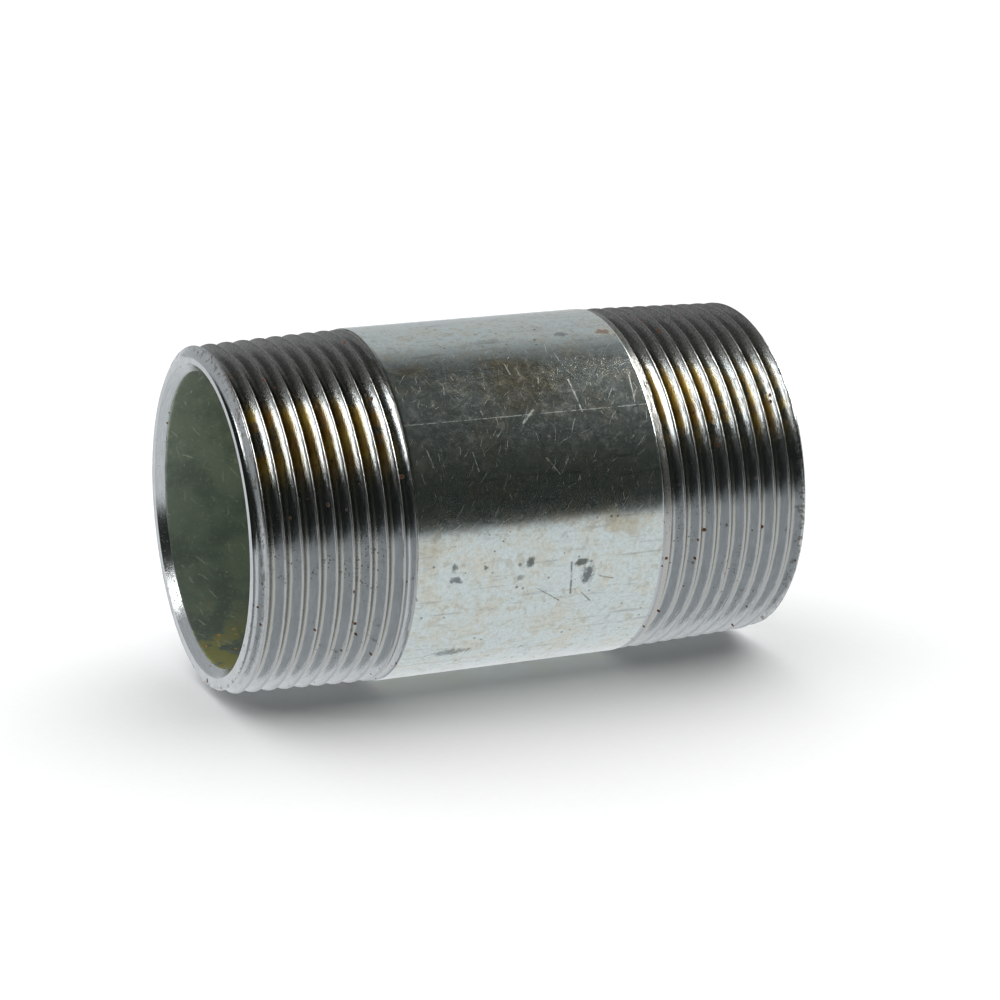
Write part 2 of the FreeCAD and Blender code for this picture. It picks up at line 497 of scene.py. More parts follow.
def zinc_skin_tree():
    graph = new_group(
        "GeometryNodeTree", "Zinc skin",
        {"Left end": 0.0, "Right end": 0.0, "Skin radius": 0.0,
         "Back radius": 0.0, "Rows": 90, "Columns": 320,
         "Slow lumps": 0.04 * MM, "Quick lumps": 0.008 * MM,
         "Edge roll": 0.3 * MM, "Edge wander": 0.25 * MM,
         "Weld height": 0.0, "Weld width": 1.6 * MM,
         "Seed": 0.0, "Material": "Material"},
        {"Geometry": "Geometry"})
    given, maths = graph.given, graph.math
    skin, back = given["Skin radius"], given["Back radius"]
    outward = maths("SIGN", graph.minus(skin, back))
    sheet, along, share = rolled_sheet(graph, given["Rows"], graph.plus(given["Columns"], 1))
    crowd = maths("SINE", graph.times(along, math.tau))
    along = maths("MULTIPLY_ADD", crowd, -EDGE_CROWDING / math.tau, along)
    length = graph.minus(given["Right end"], given["Left end"])
    x = maths("MULTIPLY_ADD", along, length, given["Left end"])

    in_mm = graph.plus(maths("DIVIDE", x, MM), given["Seed"])
    solid = round_pipe(graph, in_mm, maths("DIVIDE", skin, MM), share)
    slow = graph.minus(graph.noise(solid, 0.14, 2.0, 0.5, 0.6), 0.5)
    quick = graph.minus(graph.noise(solid, 0.8, 3.0, 0.6), 0.5)
    lumps = graph.times(slow, given["Slow lumps"])
    lumps = maths("MULTIPLY_ADD", quick, given["Quick lumps"], lumps)

    from_left, from_right = graph.minus(x, given["Left end"]), graph.minus(given["Right end"], x)
    to_edge = maths("MINIMUM", from_left, from_right)
    inside = graph.remap(to_edge, 0.0, given["Edge roll"], 1.0, 0.0, smooth=False)
    arc = maths("SQRT", graph.minus(1.0, graph.times(inside, inside)))
    rolled = graph.minus(1.0, arc)
    thickness = maths("ABSOLUTE", graph.minus(skin, back))
    rolled = graph.times(graph.times(rolled, thickness), -0.7)

    from_weld = maths("ABSOLUTE", graph.minus(share, WELD_ANGLE / 360))
    from_weld = graph.times(graph.times(from_weld, math.tau), skin)
    bead = graph.remap(from_weld, 0.0, graph.times(given["Weld width"], 0.6), 1.0, 0.0)
    bead = graph.times(bead, given["Weld height"])

    proud = graph.plus(graph.plus(lumps, rolled), bead)
    radius = maths("MULTIPLY_ADD", proud, outward, skin)
    wander = graph.minus(graph.noise(solid, 0.5, 3.0, 0.6), 0.5)
    side = maths("SIGN", graph.minus(0.5, along))
    wander = graph.times(maths("ABSOLUTE", wander), given["Edge wander"])
    wander = graph.times(wander, graph.remap(to_edge, 0.0, 2.0 * MM, 1.0, 0.0))
    x = maths("MULTIPLY_ADD", wander, side, x)
    place = round_pipe(graph, x, radius, share)
    mesh = merged(graph, moved(graph, sheet, place))

    mesh, edges = draw_on(graph, mesh, open_edges(graph), None, back)
    mesh, edges = draw_on(graph, mesh, edges, 0.0, back)
    graph.feed(graph.result["Geometry"], finished(graph, merged(graph, mesh), given["Material"]))
    return graph.tree


zinc_skin = zinc_skin_tree()
outside_zinc = bpy.data.materials.new("outside_dip")
bore_zinc = bpy.data.materials.new("bore_dip")
sleeve = grow("zinc_coat", zinc_skin, {
    "Left end": sleeve_low.x, "Right end": sleeve_high.x, "Skin radius": SLEEVE_RADIUS,
    "Back radius": PIPE_RADIUS - TUCK, "Rows": 90, "Columns": 320,
    "Weld height": 0.02 * MM, "Material": outside_zinc})
face_outwards(sleeve)
lining = grow("bore_coat", zinc_skin, {
    "Left end": lining_low.x, "Right end": lining_high.x, "Skin radius": BORE_RADIUS - BORE_ZINC,
    "Back radius": BORE_RADIUS + TUCK, "Rows": 110, "Columns": 256,
    "Slow lumps": 0.12 * MM, "Quick lumps": 0.05 * MM, "Edge wander": 0.5 * MM,
    "Weld height": WELD_BEAD, "Seed": 500.0, "Material": bore_zinc})
face_outwards(lining)

# %% [markdown]
# ## Where a mark lies
# The finishes need to know where they are on the pipe. This shader group unrolls it: how far
# along the axis, how many degrees round from the top towards the front, and how far out. The
# marks, stains and scratches below are placed with those numbers, as one would with a tape
# measure laid on the pipe.

# %% Unroll, a shader group


def unroll_group():
    graph = new_group("ShaderNodeTree", "Unroll", {},
                      {"Along": "Float", "Degrees": "Float", "Radius": "Float",
                       "Flat": "Vector", "Solid": "Vector"})
    maths = graph.math
    solid = graph.node("ShaderNodeTexCoord").outputs["Object"]
    solid = graph.vectors("SCALE", solid, 1 / MM)
    place = graph.node("ShaderNodeSeparateXYZ", (solid,)).outputs
    front = graph.times(place[1], -1.0)
    degrees = graph.times(maths("ARCTAN2", front, place[2]), 180 / math.pi)
    square = graph.plus(graph.times(place[1], place[1]), graph.times(place[2], place[2]))
    radius = maths("SQRT", square)
    around = graph.times(degrees, SLEEVE_RADIUS / MM * math.pi / 180)
    graph.feed(graph.result["Along"], place[0])
    graph.feed(graph.result["Degrees"], degrees)
    graph.feed(graph.result["Radius"], radius)
    graph.feed(graph.result["Flat"], graph.vector(place[0], around, 0.0))
    graph.feed(graph.result["Solid"], solid)
    return graph.tree


unroll = unroll_group()
print("unroll:", [item.name for item in unroll.interface.items_tree])

# %% [markdown]
# ## Scratches, blotches and lines
# Handling leaves three kinds of mark. Loose scratches lie everywhere, short and in a rough
# direction: a Voronoi pattern gives each cell one scratch, turned and sized by the cell's own
# random colour. Stains and bruises sit in known places with ragged edges. Long single lines, as
# the trace of the weld or one deep score, run from one place to another.
#
# Each is a group that gives a mask, so a finish can use it for colour, roughness and depth.

# %% Mark groups


def scratches_group():
    graph = new_group(
        "ShaderNodeTree", "Scratches",
        {"Flat": "Vector", "Spacing": 2.0, "Length": 1.0,
         "Width": 0.05, "Turn": 0.0, "Spread": 60.0,
         "Share": 0.7, "Seed": 0.0},
        {"Mask": "Float"})
    given, maths = graph.given, graph.math
    shift = graph.vector(given["Seed"], given["Seed"], 0.0)
    place = graph.vectors("ADD", given["Flat"], shift)
    wobble = graph.noise(place, 0.6, 1.0)
    cells = graph.vectors("SCALE", place, maths("DIVIDE", 1.0, given["Spacing"]))
    voronoi = graph.node("ShaderNodeTexVoronoi", {"Vector": cells, "Scale": 1.0},
                         voronoi_dimensions="2D")
    local = graph.vectors("SUBTRACT", cells, voronoi.outputs["Position"])
    local = graph.vectors("SCALE", local, given["Spacing"])
    chance = graph.node("ShaderNodeSeparateColor", (voronoi.outputs["Color"],)).outputs
    turn = graph.times(graph.minus(chance[0], 0.5), given["Spread"])
    turn = maths("RADIANS", graph.plus(turn, given["Turn"]))
    turned = {"Vector": local, "Angle": turn}
    turned = graph.made("ShaderNodeVectorRotate", turned, rotation_type="Z_AXIS")
    turned = graph.node("ShaderNodeSeparateXYZ", (turned,)).outputs
    bow = graph.times(graph.minus(wobble, 0.5), 0.5)
    off_line = maths("ABSOLUTE", graph.plus(turned[1], bow))
    width = graph.times(given["Width"], maths("MULTIPLY_ADD", chance[1], 0.9, 0.3))
    across = graph.remap(off_line, graph.times(width, 0.2), width, 1.0, 0.0)
    reach = graph.times(given["Length"], maths("MULTIPLY_ADD", chance[2], 0.9, 0.15))
    reach = graph.times(reach, 0.5)
    length = graph.remap(maths("ABSOLUTE", turned[0]), graph.times(reach, 0.4), reach, 1.0, 0.0)
    picked = maths("LESS_THAN", maths("FRACT", graph.times(chance[2], 7.3)), given["Share"])
    mask = graph.times(graph.times(across, length), picked)
    graph.feed(graph.result["Mask"], mask)
    return graph.tree


def blotch_group():
    graph = new_group(
        "ShaderNodeTree", "Blotch",
        {"Along": 0.0, "Degrees": 0.0, "Half length": 1.0,
         "Half width": 1.0, "Raggedness": 0.6, "Grain": 1.5,
         "Softness": 0.3},
        {"Mask": "Float"})
    given, maths = graph.given, graph.math
    here = graph.group(unroll)
    along = maths("DIVIDE", graph.minus(here["Along"], given["Along"]), given["Half length"])
    round_it = graph.minus(here["Degrees"], given["Degrees"])
    round_it = graph.times(round_it, SLEEVE_RADIUS / MM * math.pi / 180)
    round_it = maths("DIVIDE", round_it, given["Half width"])
    away = graph.plus(graph.times(along, along), graph.times(round_it, round_it))
    rag = graph.minus(graph.noise(here["Solid"], given["Grain"], 3.0, 0.65), 0.5)
    away = maths("MULTIPLY_ADD", rag, graph.times(given["Raggedness"], 4.0), maths("SQRT", away))
    soft = given["Softness"]
    mask = graph.remap(away, graph.minus(1.0, soft), graph.plus(1.0, soft), 1.0, 0.0)
    graph.feed(graph.result["Mask"], mask)
    return graph.tree


def line_group():
    graph = new_group(
        "ShaderNodeTree", "Line",
        {"From along": 0.0, "From degrees": 0.0, "To along": 1.0,
         "To degrees": 0.0, "Width": 0.1, "Breaks": 0.5},
        {"Mask": "Float"})
    given, maths = graph.given, graph.math
    here = graph.group(unroll)
    per_degree = SLEEVE_RADIUS / MM * math.pi / 180
    start = graph.vector(given["From along"], graph.times(given["From degrees"], per_degree), 0.0)
    end = graph.vector(given["To along"], graph.times(given["To degrees"], per_degree), 0.0)

    def between(first, second, operation="SUBTRACT"):
        return graph.node("ShaderNodeVectorMath", (first, second), operation=operation)

    run = between(end, start).outputs[0]
    here_from_start = between(here["Flat"], start).outputs[0]
    share = maths("DIVIDE", between(here_from_start, run, "DOT_PRODUCT").outputs["Value"],
                  between(run, run, "DOT_PRODUCT").outputs["Value"])
    share = maths("MINIMUM", maths("MAXIMUM", share, 0.0), 1.0)
    nearest = graph.vectors("SCALE", run, share)
    away = between(here_from_start, nearest, "DISTANCE").outputs["Value"]
    wobble = graph.minus(graph.noise(here["Solid"], 0.7, 3.0, 0.6), 0.5)
    away = maths("ABSOLUTE", maths("MULTIPLY_ADD", wobble, given["Width"], away))
    mask = graph.remap(away, graph.times(given["Width"], 0.2), given["Width"], 1.0, 0.0)
    broken = graph.remap(graph.noise(here["Solid"], 1.1, 2.0, 0.6), 0.3, 0.6, 0.0, 1.0)
    broken = maths("MULTIPLY_ADD", graph.minus(broken, 1.0), given["Breaks"], 1.0)
    graph.feed(graph.result["Mask"], graph.times(mask, broken))
    return graph.tree


scratches = scratches_group()
blotch = blotch_group()
line = line_group()
print("mark groups:", scratches.name, blotch.name, line.name)

# %% [markdown]
# ## Specks
# Cut steel starts to rust in dots within days of its oil drying. Zinc has dots too, of ash and
# dross from the bath. A fine Voronoi pattern gives the dots, and slow noise gathers them in
# patches, because nothing rusts evenly.

# %% Specks, a shader group


def specks_group():
    graph = new_group(
        "ShaderNodeTree", "Specks",
        {"Spacing": 0.8, "Size": 0.2, "Patchiness": 0.5,
         "Patch size": 6.0, "Seed": 0.0},
        {"Mask": "Float"})
    given, maths = graph.given, graph.math
    here = graph.group(unroll)
    shift = graph.vector(given["Seed"], given["Seed"], given["Seed"])
    place = graph.made("ShaderNodeVectorMath", (here["Solid"], shift), operation="ADD")
    feeds = {"Vector": place, "Scale": maths("DIVIDE", 1.0, given["Spacing"])}
    dots = graph.node("ShaderNodeTexVoronoi", feeds)
    away = graph.times(dots.outputs["Distance"], given["Spacing"])
    chance = graph.node("ShaderNodeSeparateColor", (dots.outputs["Color"],)).outputs
    patch = graph.noise(place, maths("DIVIDE", 1.0, given["Patch size"]), 3.0, 0.6)
    low_patch = graph.minus(given["Patchiness"], 0.1)
    patch = graph.remap(patch, low_patch, graph.plus(given["Patchiness"], 0.1))
    size = graph.times(graph.times(given["Size"], chance[0]), patch)
    ragged = graph.times(graph.minus(graph.noise(place, 5.0, 2.0), 0.5), 0.25)
    size = graph.plus(size, graph.times(ragged, size))
    mask = graph.remap(away, graph.times(size, 0.6), graph.plus(size, 0.0001), 1.0, 0.0)
    graph.feed(graph.result["Mask"], mask)
    return graph.tree


specks = specks_group()

# %% [markdown]
# ## Bare steel
# A die tears more than it cuts, and everything it touches is wet with dark sulphur oil. The
# crests are rubbed to a pale burr. The flanks are bright with fine lines round the pipe. The oil
# stands in the grooves as an amber varnish. Over the top the thread is darkened nearly black, with rust
# dots.
#
# The finish is a metal whose colour and roughness are mixed from where it is on the thread. The
# thread's tree stored how deep each point lies, and the finish reads it as an attribute.

# %% The bare steel finish


def layer(graph, state, mask, colour=None, roughness=None, metallic=None):
    """Lay a film over what is there: where the mask is 1 the new values hold."""
    if colour is not None:
        state["colour"] = graph.colour(mask, state["colour"], colour)
    for name, value in (("roughness", roughness), ("metallic", metallic)):
        if value is not None:
            step = graph.minus(value, state[name])
            state[name] = graph.math("MULTIPLY_ADD", mask, step, state[name])


def finish(material, build):
    """Clear a material, let build() mix its state and feed the state to one Principled shader."""
    material.use_nodes = True
    material.node_tree.nodes.clear()
    graph = Graph(material.node_tree)
    state = build(graph)
    bump = {"Strength": 1.0, "Distance": 1.0, "Height": state["height"]}
    bump = graph.node("ShaderNodeBump", bump).outputs[0]
    shader = {"Base Color": state["colour"], "Roughness": state["roughness"],
              "Metallic": state["metallic"], "Normal": bump}
    shader = graph.node("ShaderNodeBsdfPrincipled", shader).outputs[0]
    graph.node("ShaderNodeOutputMaterial", (shader,))
    print(material.name, "has", len(material.node_tree.nodes), "nodes")


def steel(graph):
    maths = graph.math
    here = graph.group(unroll)
    groove = graph.node("ShaderNodeAttribute", attribute_name="groove").outputs["Fac"]
    solid, along = here["Solid"], here["Along"]
    stretch = graph.vectors("MULTIPLY", solid, (9.0, 0.5, 0.5))
    lines = graph.noise(stretch, 1.0, 3.0, 0.6)
    patches = graph.noise(solid, 0.16, 3.0, 0.6)
    grain = graph.noise(solid, 6.0, 3.0, 0.65)

    state = {"colour": graph.colour(patches, (0.53, 0.55, 0.56), (0.47, 0.49, 0.49)),
             "roughness": maths("MULTIPLY_ADD", grain, 0.10, 0.12), "metallic": 1.0}
    streak = graph.remap(lines, 0.35, 0.65)
    layer(graph, state, graph.times(streak, 0.3), (0.32, 0.33, 0.33))

    depth_in = graph.minus(HALF_LENGTH / MM, maths("ABSOLUTE", along))
    on_thread = graph.remap(depth_in, 0.8, 1.6)
    crest = graph.times(graph.remap(groove, 0.22, 0.08), on_thread)
    layer(graph, state, graph.times(crest, 0.5), (0.29, 0.30, 0.31), 0.28)
    burr = graph.times(graph.remap(groove, 0.05, 0.01), on_thread)
    burr = graph.times(burr, graph.remap(grain, 0.3, 0.6, 0.3, 0.8))
    layer(graph, state, burr, (0.50, 0.48, 0.43), 0.34)
    root = graph.times(graph.remap(groove, 0.93, 0.98), on_thread)
    layer(graph, state, graph.times(root, 0.65), (0.40, 0.385, 0.33), 0.3)
    in_groove = graph.times(graph.remap(groove, 0.52, 0.86), on_thread)
    wet = graph.times(graph.remap(here["Degrees"], 28.0, 42.0), graph.remap(here["Degrees"], 72.0, 56.0))
    oil = graph.remap(graph.noise(solid, 0.14, 3.0, 0.6, 0.4), 0.38, 0.52, 0.15, 1.0)
    oil = graph.times(graph.times(oil, in_groove), wet)
    amber = graph.remap(graph.noise(solid, 0.3, 2.0), 0.35, 0.65)
    amber = graph.colour(amber, (0.90, 0.66, 0.18), (0.62, 0.38, 0.11))
    layer(graph, state, oil, amber, 0.42)

    # Over the top, from about -75 to 38 degrees round, the thread is darkened nearly black, with a
    # ragged grainy edge.
    ragged = graph.times(graph.minus(graph.noise(solid, 3.2, 4.0, 0.8), 0.5), 42.0)
    over_top = graph.plus(here["Degrees"], ragged)
    dark_top = graph.times(graph.remap(over_top, 38.0, 31.0), graph.remap(over_top, -75.0, -50.0))
    dark_top = graph.times(dark_top, graph.times(on_thread, 0.8))
    dark_top_grain = graph.remap(graph.noise(solid, 3.6, 4.0, 0.8), 0.42, 0.60)
    dark_top_grain = graph.colour(dark_top_grain, (0.035, 0.035, 0.028), (0.18, 0.17, 0.15))
    layer(graph, state, dark_top, dark_top_grain, 0.34)

    edge = graph.times(graph.remap(depth_in, 1.8, 1.0), graph.remap(here["Radius"], 22.2, 22.7))
    edge = graph.times(edge, graph.remap(graph.noise(solid, 1.1, 3.0, 0.7), 0.52, 0.60))
    layer(graph, state, graph.times(edge, 0.7), (0.17, 0.14, 0.11), 0.5)

    dust = graph.group(specks, **{"Spacing": 0.45, "Size": 0.20, "Patchiness": 0.56, "Patch size": 9.0})
    layer(graph, state, graph.times(dust["Mask"], 0.6), (0.11, 0.08, 0.06), 0.5)
    rust = graph.group(specks, **{"Spacing": 1.5, "Size": 0.42, "Patchiness": 0.53, "Seed": 40.0})
    rusty = graph.colour(grain, (0.22, 0.07, 0.02), (0.09, 0.035, 0.015))
    layer(graph, state, rust["Mask"], rusty, 0.8, 0.15)

    height = graph.times(lines, 0.030 * MM)
    state["height"] = maths("MULTIPLY_ADD", grain, 0.006 * MM, height)
    return state


finish(bare_steel, steel)

# %% [markdown]
# ## Hot-dip zinc
# Fresh zinc is bright. On small pipe it freezes with no flowers, only a soft mottle: bluish where
# it is clean, cream where it has begun to weather, with fine lines along the pipe where the
# mill wiped it. The outside is then scratched by its neighbours in the box. A scratch in zinc
# is a bright rough line in the light and a dark one against it, so it changes the roughness as
# well as the colour.
#
# Marks in known places come from short lists: how far along in millimetres, how many degrees
# round from the top, and how large.

# %% The outside zinc finish
STAINS = [  # along, degrees, half length, half width, strength
    (0.7, 38.0, 5.5, 3.4, 0.55), (-14.5, 31.0, 2.0, 1.1, 0.45), (-2.0, 31.0, 1.4, 0.9, 0.4),
    (12.0, 89.5, 2.0, 1.3, 0.5), (-16.5, 92.0, 1.8, 1.6, 0.35), (2.5, 84.0, 5.0, 1.2, 0.25)]
BRUISES = [
    (-7.9, 37.8, 1.3, 0.55, 0.6), (6.6, 105.5, 0.85, 1.2, 0.75), (5.4, 100.6, 1.2, 0.4, 0.8),
    (-2.0, 98.6, 0.5, 0.7, 0.8), (-12.8, 97.6, 0.35, 0.5, 0.7), (-12.4, 102.2, 0.8, 0.45, 0.7),
    (-8.4, 98.8, 0.3, 0.3, 0.7), (-3.5, 103.7, 0.6, 0.35, 0.5), (-10.9, 134.5, 2.6, 0.7, 0.6),
    (9.5, 18.0, 0.9, 0.5, 0.5), (-1.5, 19.0, 2.2, 0.5, 0.25)]
SCORES = [  # from along, degrees, to along, degrees, width
    (-1.1, 29.0, -0.8, 36.5, 0.16), (7.0, 40.0, 7.5, 52.0, 0.16), (15.9, 40.5, 15.4, 51.5, 0.12),
    (-18.4, 68.0, -18.0, 74.0, 0.14), (-9.2, 62.0, -8.8, 68.0, 0.12), (1.0, 66.0, 2.6, 71.5, 0.16),
    (3.0, 71.0, 4.2, 66.5, 0.14), (-1.2, 54.0, 0.6, 50.0, 0.22), (-15.5, 60.0, -14.9, 66.0, 0.12)]
CUTS = [
    (4.0, 100.5, 4.4, 112.0, 0.22), (-0.6, 108.5, 3.0, 114.4, 0.14), (6.0, 112.0, 7.6, 116.0, 0.16),
    (8.4, 106.5, 10.5, 108.0, 0.12), (-19.0, 100.0, -17.8, 108.0, 0.14)]


def marks(graph, state, group, places, colour, roughness=None, metallic=None, **rest):
    """Lay a row of marks, each with its own strength or width as the last number of its place."""
    for place in places:
        if group is blotch:
            names = ("Along", "Degrees", "Half length", "Half width")
            strength = place[4]
        else:
            names = ("From along", "From degrees", "To along", "To degrees", "Width")
            strength = 0.75
        feeds = dict(zip(names, place))
        mask = graph.group(group, **feeds, **rest)["Mask"]
        mask = graph.times(mask, strength)
        layer(graph, state, mask, colour, roughness, metallic)


def outside_dip(graph):
    maths = graph.math
    here = graph.group(unroll)
    solid, flat = here["Solid"], here["Flat"]
    clouds = graph.noise(solid, 0.22, 4.0, 0.62, 0.3)
    mottle = graph.noise(solid, 0.75, 4.0, 0.7, 0.5)
    drawn = graph.vectors("MULTIPLY", solid, (0.12, 1.6, 1.6))
    wiped = graph.noise(drawn, 1.0, 4.0, 0.65)

    cream = graph.remap(maths("MULTIPLY_ADD", clouds, 0.5, graph.times(mottle, 0.5)), 0.46, 0.60)
    state = {"colour": graph.colour(cream, (0.59, 0.65, 0.64), (0.60, 0.59, 0.51)),
             "roughness": maths("MULTIPLY_ADD", mottle, 0.12, 0.13), "metallic": 0.99}
    bloom = graph.remap(graph.noise(solid, 1.9, 5.0, 0.75), 0.42, 0.62)
    layer(graph, state, graph.times(bloom, 0.5), (0.42, 0.46, 0.41))
    dull = graph.remap(mottle, 0.52, 0.66)
    layer(graph, state, graph.times(dull, 0.45), (0.36, 0.38, 0.36), 0.28)
    frost = graph.remap(graph.noise(solid, 3.1, 4.0, 0.7), 0.54, 0.68)
    layer(graph, state, graph.times(frost, 0.5), (0.66, 0.69, 0.66), 0.30, 0.96)
    dark_wipe = graph.remap(wiped, 0.56, 0.70)
    layer(graph, state, graph.times(dark_wipe, 0.5), (0.28, 0.29, 0.28))
    marks(graph, state, blotch, STAINS, (0.40, 0.32, 0.17), Raggedness=0.9, Grain=0.6, Softness=0.8)

    fine = {"Flat": flat, "Spacing": 1.5, "Length": 2.4, "Width": 0.06, "Turn": 72.0, "Spread": 90.0,
            "Share": 0.6}
    coarse = {"Flat": flat, "Spacing": 3.4, "Length": 3.0, "Width": 0.09, "Turn": 65.0, "Spread": 90.0,
              "Share": 0.75, "Seed": 30.0}
    hair = {"Flat": flat, "Spacing": 5.0, "Length": 6.5, "Width": 0.05, "Turn": 80.0, "Spread": 70.0,
            "Share": 0.8, "Seed": 77.0}
    loose = graph.group(scratches, **fine)["Mask"]
    busy = graph.remap(clouds, 0.40, 0.60, 0.25, 1.0)
    loose = graph.times(loose, busy)
    loose = maths("MAXIMUM", loose, graph.group(scratches, **coarse)["Mask"])
    loose = maths("MAXIMUM", loose, graph.times(graph.group(scratches, **hair)["Mask"], 0.7))
    layer(graph, state, graph.times(loose, 0.38), (0.56, 0.60, 0.55), 0.45, 0.80)
    marks(graph, state, line, SCORES, (0.54, 0.57, 0.53), 0.38, 0.90, Breaks=0.9)
    weld_line = [(-17.8, WELD_ANGLE + 0.2, 17.6, WELD_ANGLE + 0.6, 0.11)]
    marks(graph, state, line, weld_line, (0.50, 0.53, 0.50), 0.34, 0.93, Breaks=1.0)

    bruise = (0.05, 0.06, 0.06)
    marks(graph, state, blotch, BRUISES, bruise, 0.3, Raggedness=0.75, Grain=1.7, Softness=0.45)
    marks(graph, state, line, CUTS, (0.09, 0.09, 0.09), 0.3, Breaks=0.8)
    rust_place = [(15.7, 18.5, 1.2, 0.7, 0.9)]
    marks(graph, state, blotch, rust_place, (0.10, 0.055, 0.03), 0.75, 0.1, Raggedness=0.45)
    pits = graph.group(specks, **{"Spacing": 1.1, "Size": 0.34, "Patchiness": 0.50, "Seed": 9.0})
    layer(graph, state, graph.times(pits["Mask"], 0.7), (0.13, 0.14, 0.13), 0.3)

    height = graph.times(loose, -0.001 * MM)
    height = maths("MULTIPLY_ADD", graph.noise(solid, 0.5, 1.0), 0.010 * MM, height)
    state["height"] = maths("MULTIPLY_ADD", pits["Mask"], -0.004 * MM, height)
    return state


finish(outside_zinc, outside_dip)

# %% [markdown]
# The bore is duller. Nothing rubs it, so its zinc has gone matt and greenish, with pale streaks
# where it ran down, and orange dots at the mouth where water sits against the cut steel.

# %% The bore zinc finish


def bore_dip(graph):
    maths = graph.math
    here = graph.group(unroll)
    solid = here["Solid"]
    clouds = graph.remap(graph.noise(solid, 0.16, 4.0, 0.6, 0.4), 0.35, 0.62)
    mottle = graph.noise(solid, 0.9, 4.0, 0.7)
    grain = graph.noise(solid, 5.0, 3.0, 0.65)
    state = {"colour": graph.colour(clouds, (0.27, 0.32, 0.28), (0.40, 0.46, 0.38)),
             "roughness": maths("MULTIPLY_ADD", mottle, 0.25, 0.34), "metallic": 0.75}
    pale = graph.remap(mottle, 0.58, 0.70)
    layer(graph, state, graph.times(pale, 0.5), (0.55, 0.58, 0.52))
    speckle = graph.remap(graph.noise(solid, 2.6, 4.0, 0.75), 0.56, 0.68)
    layer(graph, state, graph.times(speckle, 0.8), (0.64, 0.68, 0.60), 0.5)
    run = {"Flat": here["Flat"], "Spacing": 3.0, "Length": 3.2, "Width": 0.12, "Turn": 60.0,
           "Spread": 80.0, "Seed": 12.0}
    run = graph.group(scratches, **run)["Mask"]
    layer(graph, state, graph.times(run, 0.6), (0.85, 0.88, 0.80), 0.6, 0.5)
    down = graph.remap(maths("ABSOLUTE", here["Degrees"]), 138.0, 172.0)
    ochre = graph.times(graph.times(down, graph.remap(clouds, 0.30, 0.55)), 0.75)
    layer(graph, state, ochre, (0.62, 0.58, 0.20))
    dots = graph.group(specks, **{"Spacing": 1.2, "Size": 0.5, "Patchiness": 0.46, "Seed": 70.0})
    near_mouth = graph.remap(here["Along"], -30.0, -36.0)
    low_down = graph.remap(maths("ABSOLUTE", here["Degrees"]), 120.0, 160.0)
    dots = graph.times(dots["Mask"], graph.times(near_mouth, low_down))
    layer(graph, state, dots, (0.55, 0.26, 0.04), 0.7, 0.1)
    height = graph.times(mottle, 0.05 * MM)
    state["height"] = maths("MULTIPLY_ADD", grain, 0.01 * MM, height)
    return state


finish(bore_zinc, bore_dip)

# %% [markdown]
# ## Put the pieces on the frame
# Each piece rides on the one body, and the CAD node it stands for is hidden. The weld seam keeps its
# CAD shape: it lies inside the wall, and only a thin end of it can show.

# %% Ride, and hide the CAD nodes
for piece, node, slot in ((pipe, "steel_pipe", "bare_steel"), (sleeve, "zinc_sleeve", "outside_zinc"),
                          (lining, "zinc_lining", "bore_zinc")):
    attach(piece, "root")
    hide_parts(node)
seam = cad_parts["weld_seam"]
for material_slot in seam.material_slots:
    material_slot.material = bare_steel

# %% [markdown]
# ## The studio
# Metal shows nothing but its surroundings, so the studio is most of the look. The pipe lies on a
# pale table. A softbox stands high on the right and gives the one bright band along the threads.
# The wall behind is lit, which the top of the pipe mirrors. The room in front and overhead is
# dark, and the middle of the pipe mirrors that. Its lower half mirrors a lit sheet, just under
# the table, which only reflections see.

# %% Table and room


def flat_square(name, low, high, level, material):
    """A horizontal rectangle between two corners, as part of the studio."""
    corners = [(low[0], low[1]), (high[0], low[1]), (high[0], high[1]), (low[0], high[1])]
    mesh = bpy.data.meshes.new(name)
    mesh.from_pydata([(x, y, level) for x, y in corners], [], [(0, 1, 2, 3)])
    mesh.materials.append(material)
    square = bpy.data.objects.new(name, mesh)
    bpy.context.scene.collection.objects.link(square)
    return square


def pale_card(graph):
    here = graph.node("ShaderNodeTexCoord").outputs["Object"]
    fibre = graph.noise(here, 900.0, 2.0)
    return {"colour": graph.colour(fibre, (0.90, 0.90, 0.90), (0.93, 0.93, 0.93)),
            "roughness": 0.9, "metallic": 0.0, "height": graph.times(fibre, 0.01 * MM)}


card = bpy.data.materials.new("pale_card")
finish(card, pale_card)
glow = bpy.data.materials.new("lit_card")
glow.use_nodes = True
glow.node_tree.nodes.clear()
glow_graph = Graph(glow.node_tree)
lit = glow_graph.node("ShaderNodeEmission", ((0.95, 0.97, 1.0), 0.95)).outputs[0]
glow_graph.node("ShaderNodeOutputMaterial", (lit,))
TABLE_LEVEL = -SLEEVE_RADIUS
table = flat_square("table", (-4.0, -4.0), (4.0, 4.0), TABLE_LEVEL, card)
table.visible_glossy = False
sheet = flat_square("mirrored_table", (-0.30, -0.19), (1.2, 1.6), TABLE_LEVEL - 0.2 * MM, glow)
sheet.visible_camera = False
sheet.visible_diffuse = False
sheet.visible_shadow = False


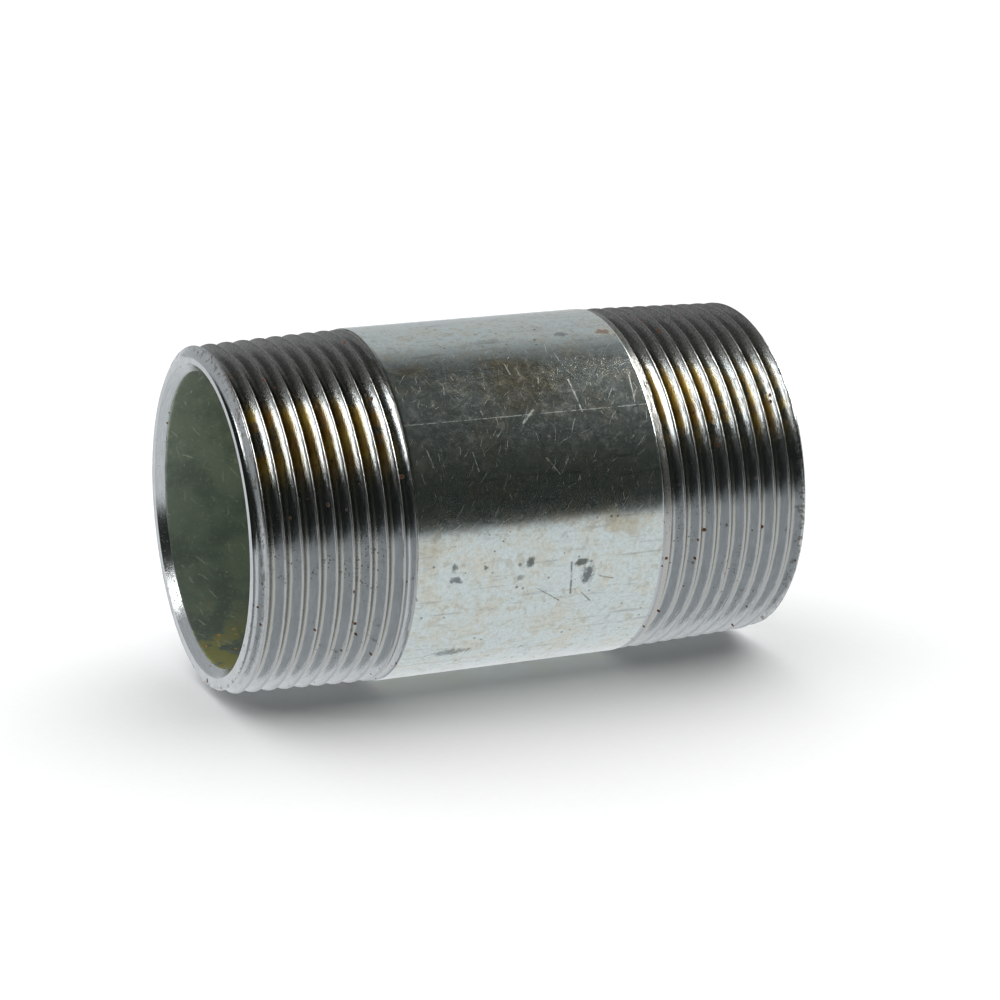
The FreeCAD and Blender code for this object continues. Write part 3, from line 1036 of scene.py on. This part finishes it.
def room():
    world = bpy.data.worlds.new("room")
    bpy.context.scene.world = world
    world.use_nodes = True
    world.node_tree.nodes.clear()
    graph = Graph(world.node_tree)
    place = graph.node("ShaderNodeSeparateXYZ", (graph.node("ShaderNodeTexCoord").outputs["Generated"],))
    towards_back = graph.remap(place.outputs[1], 0.05, 0.45)
    below_top = graph.remap(place.outputs[2], 0.96, 0.66)
    wall = graph.times(towards_back, below_top)
    mirrored = graph.colour(wall, (0.022, 0.026, 0.022), (0.58, 0.60, 0.62))
    seen = graph.node("ShaderNodeLightPath").outputs["Is Camera Ray"]
    colour = graph.colour(seen, mirrored, (1.0, 1.0, 1.0))
    background = graph.made("ShaderNodeBackground", (colour, 1.0))
    graph.node("ShaderNodeOutputWorld", (background,))


room()
bpy.context.scene.view_settings.view_transform = "Standard"

# %% Lights


def panel_light(name, direction, distance, long_side, length, width, brightness):
    """A flat light of even brightness that faces the pipe, with its long side along a direction."""
    lamp = bpy.data.lights.new(name, "AREA")
    lamp.shape = "RECTANGLE"
    lamp.size = length
    lamp.size_y = width
    lamp.energy = brightness * math.pi * length * width
    light = bpy.data.objects.new(name, lamp)
    towards = Vector(direction).normalized()
    across = towards.cross(Vector(long_side)).normalized()
    along = across.cross(towards)
    light.matrix_world = Matrix((along, across, towards)).transposed().to_4x4()
    light.location = towards * distance
    bpy.context.scene.collection.objects.link(light)
    return light


softbox = panel_light("softbox", (0.76, -0.08, 0.645), 0.7, (0.25, -0.87, -0.42), 0.50, 0.23, 22.0)
softbox.visible_diffuse = False
panel_light("side_card", (-0.86, 0.10, 0.45), 0.6, (0.0, 1.0, 0.0), 0.20, 0.13, 5.0)
overhead = panel_light("overhead", (0.15, 0.35, 1.5), 1.5, (1.0, 0.0, 0.0), 4.0, 4.0, 1.5)
overhead.visible_glossy = False

# %% [markdown]
# ## The camera
# The camera looks along the pipe's near end from the left front, a little from above, through a
# long lens so that the pipe hardly tapers with distance.

# %% Camera
VIEW_TURN = math.radians(22.84)
VIEW_TILT = math.radians(14.76)
VIEW_DISTANCE = 414.4 * MM
VIEW_AIM = Vector((3.0, -1.6, -1.1)) * MM
lens = bpy.data.cameras.new("camera")
lens.lens = 107.06
lens.sensor_width = 36.0
lens.clip_start = 0.01
camera = bpy.data.objects.new("camera", lens)
look = Vector((math.sin(VIEW_TURN) * math.cos(VIEW_TILT), math.cos(VIEW_TURN) * math.cos(VIEW_TILT),
               -math.sin(VIEW_TILT)))
camera.location = VIEW_AIM - look * VIEW_DISTANCE
camera.rotation_euler = look.to_track_quat("-Z", "Y").to_euler()
bpy.context.scene.collection.objects.link(camera)
bpy.context.scene.camera = camera
print("camera at", [round(value / MM, 1) for value in camera.location], "mm")
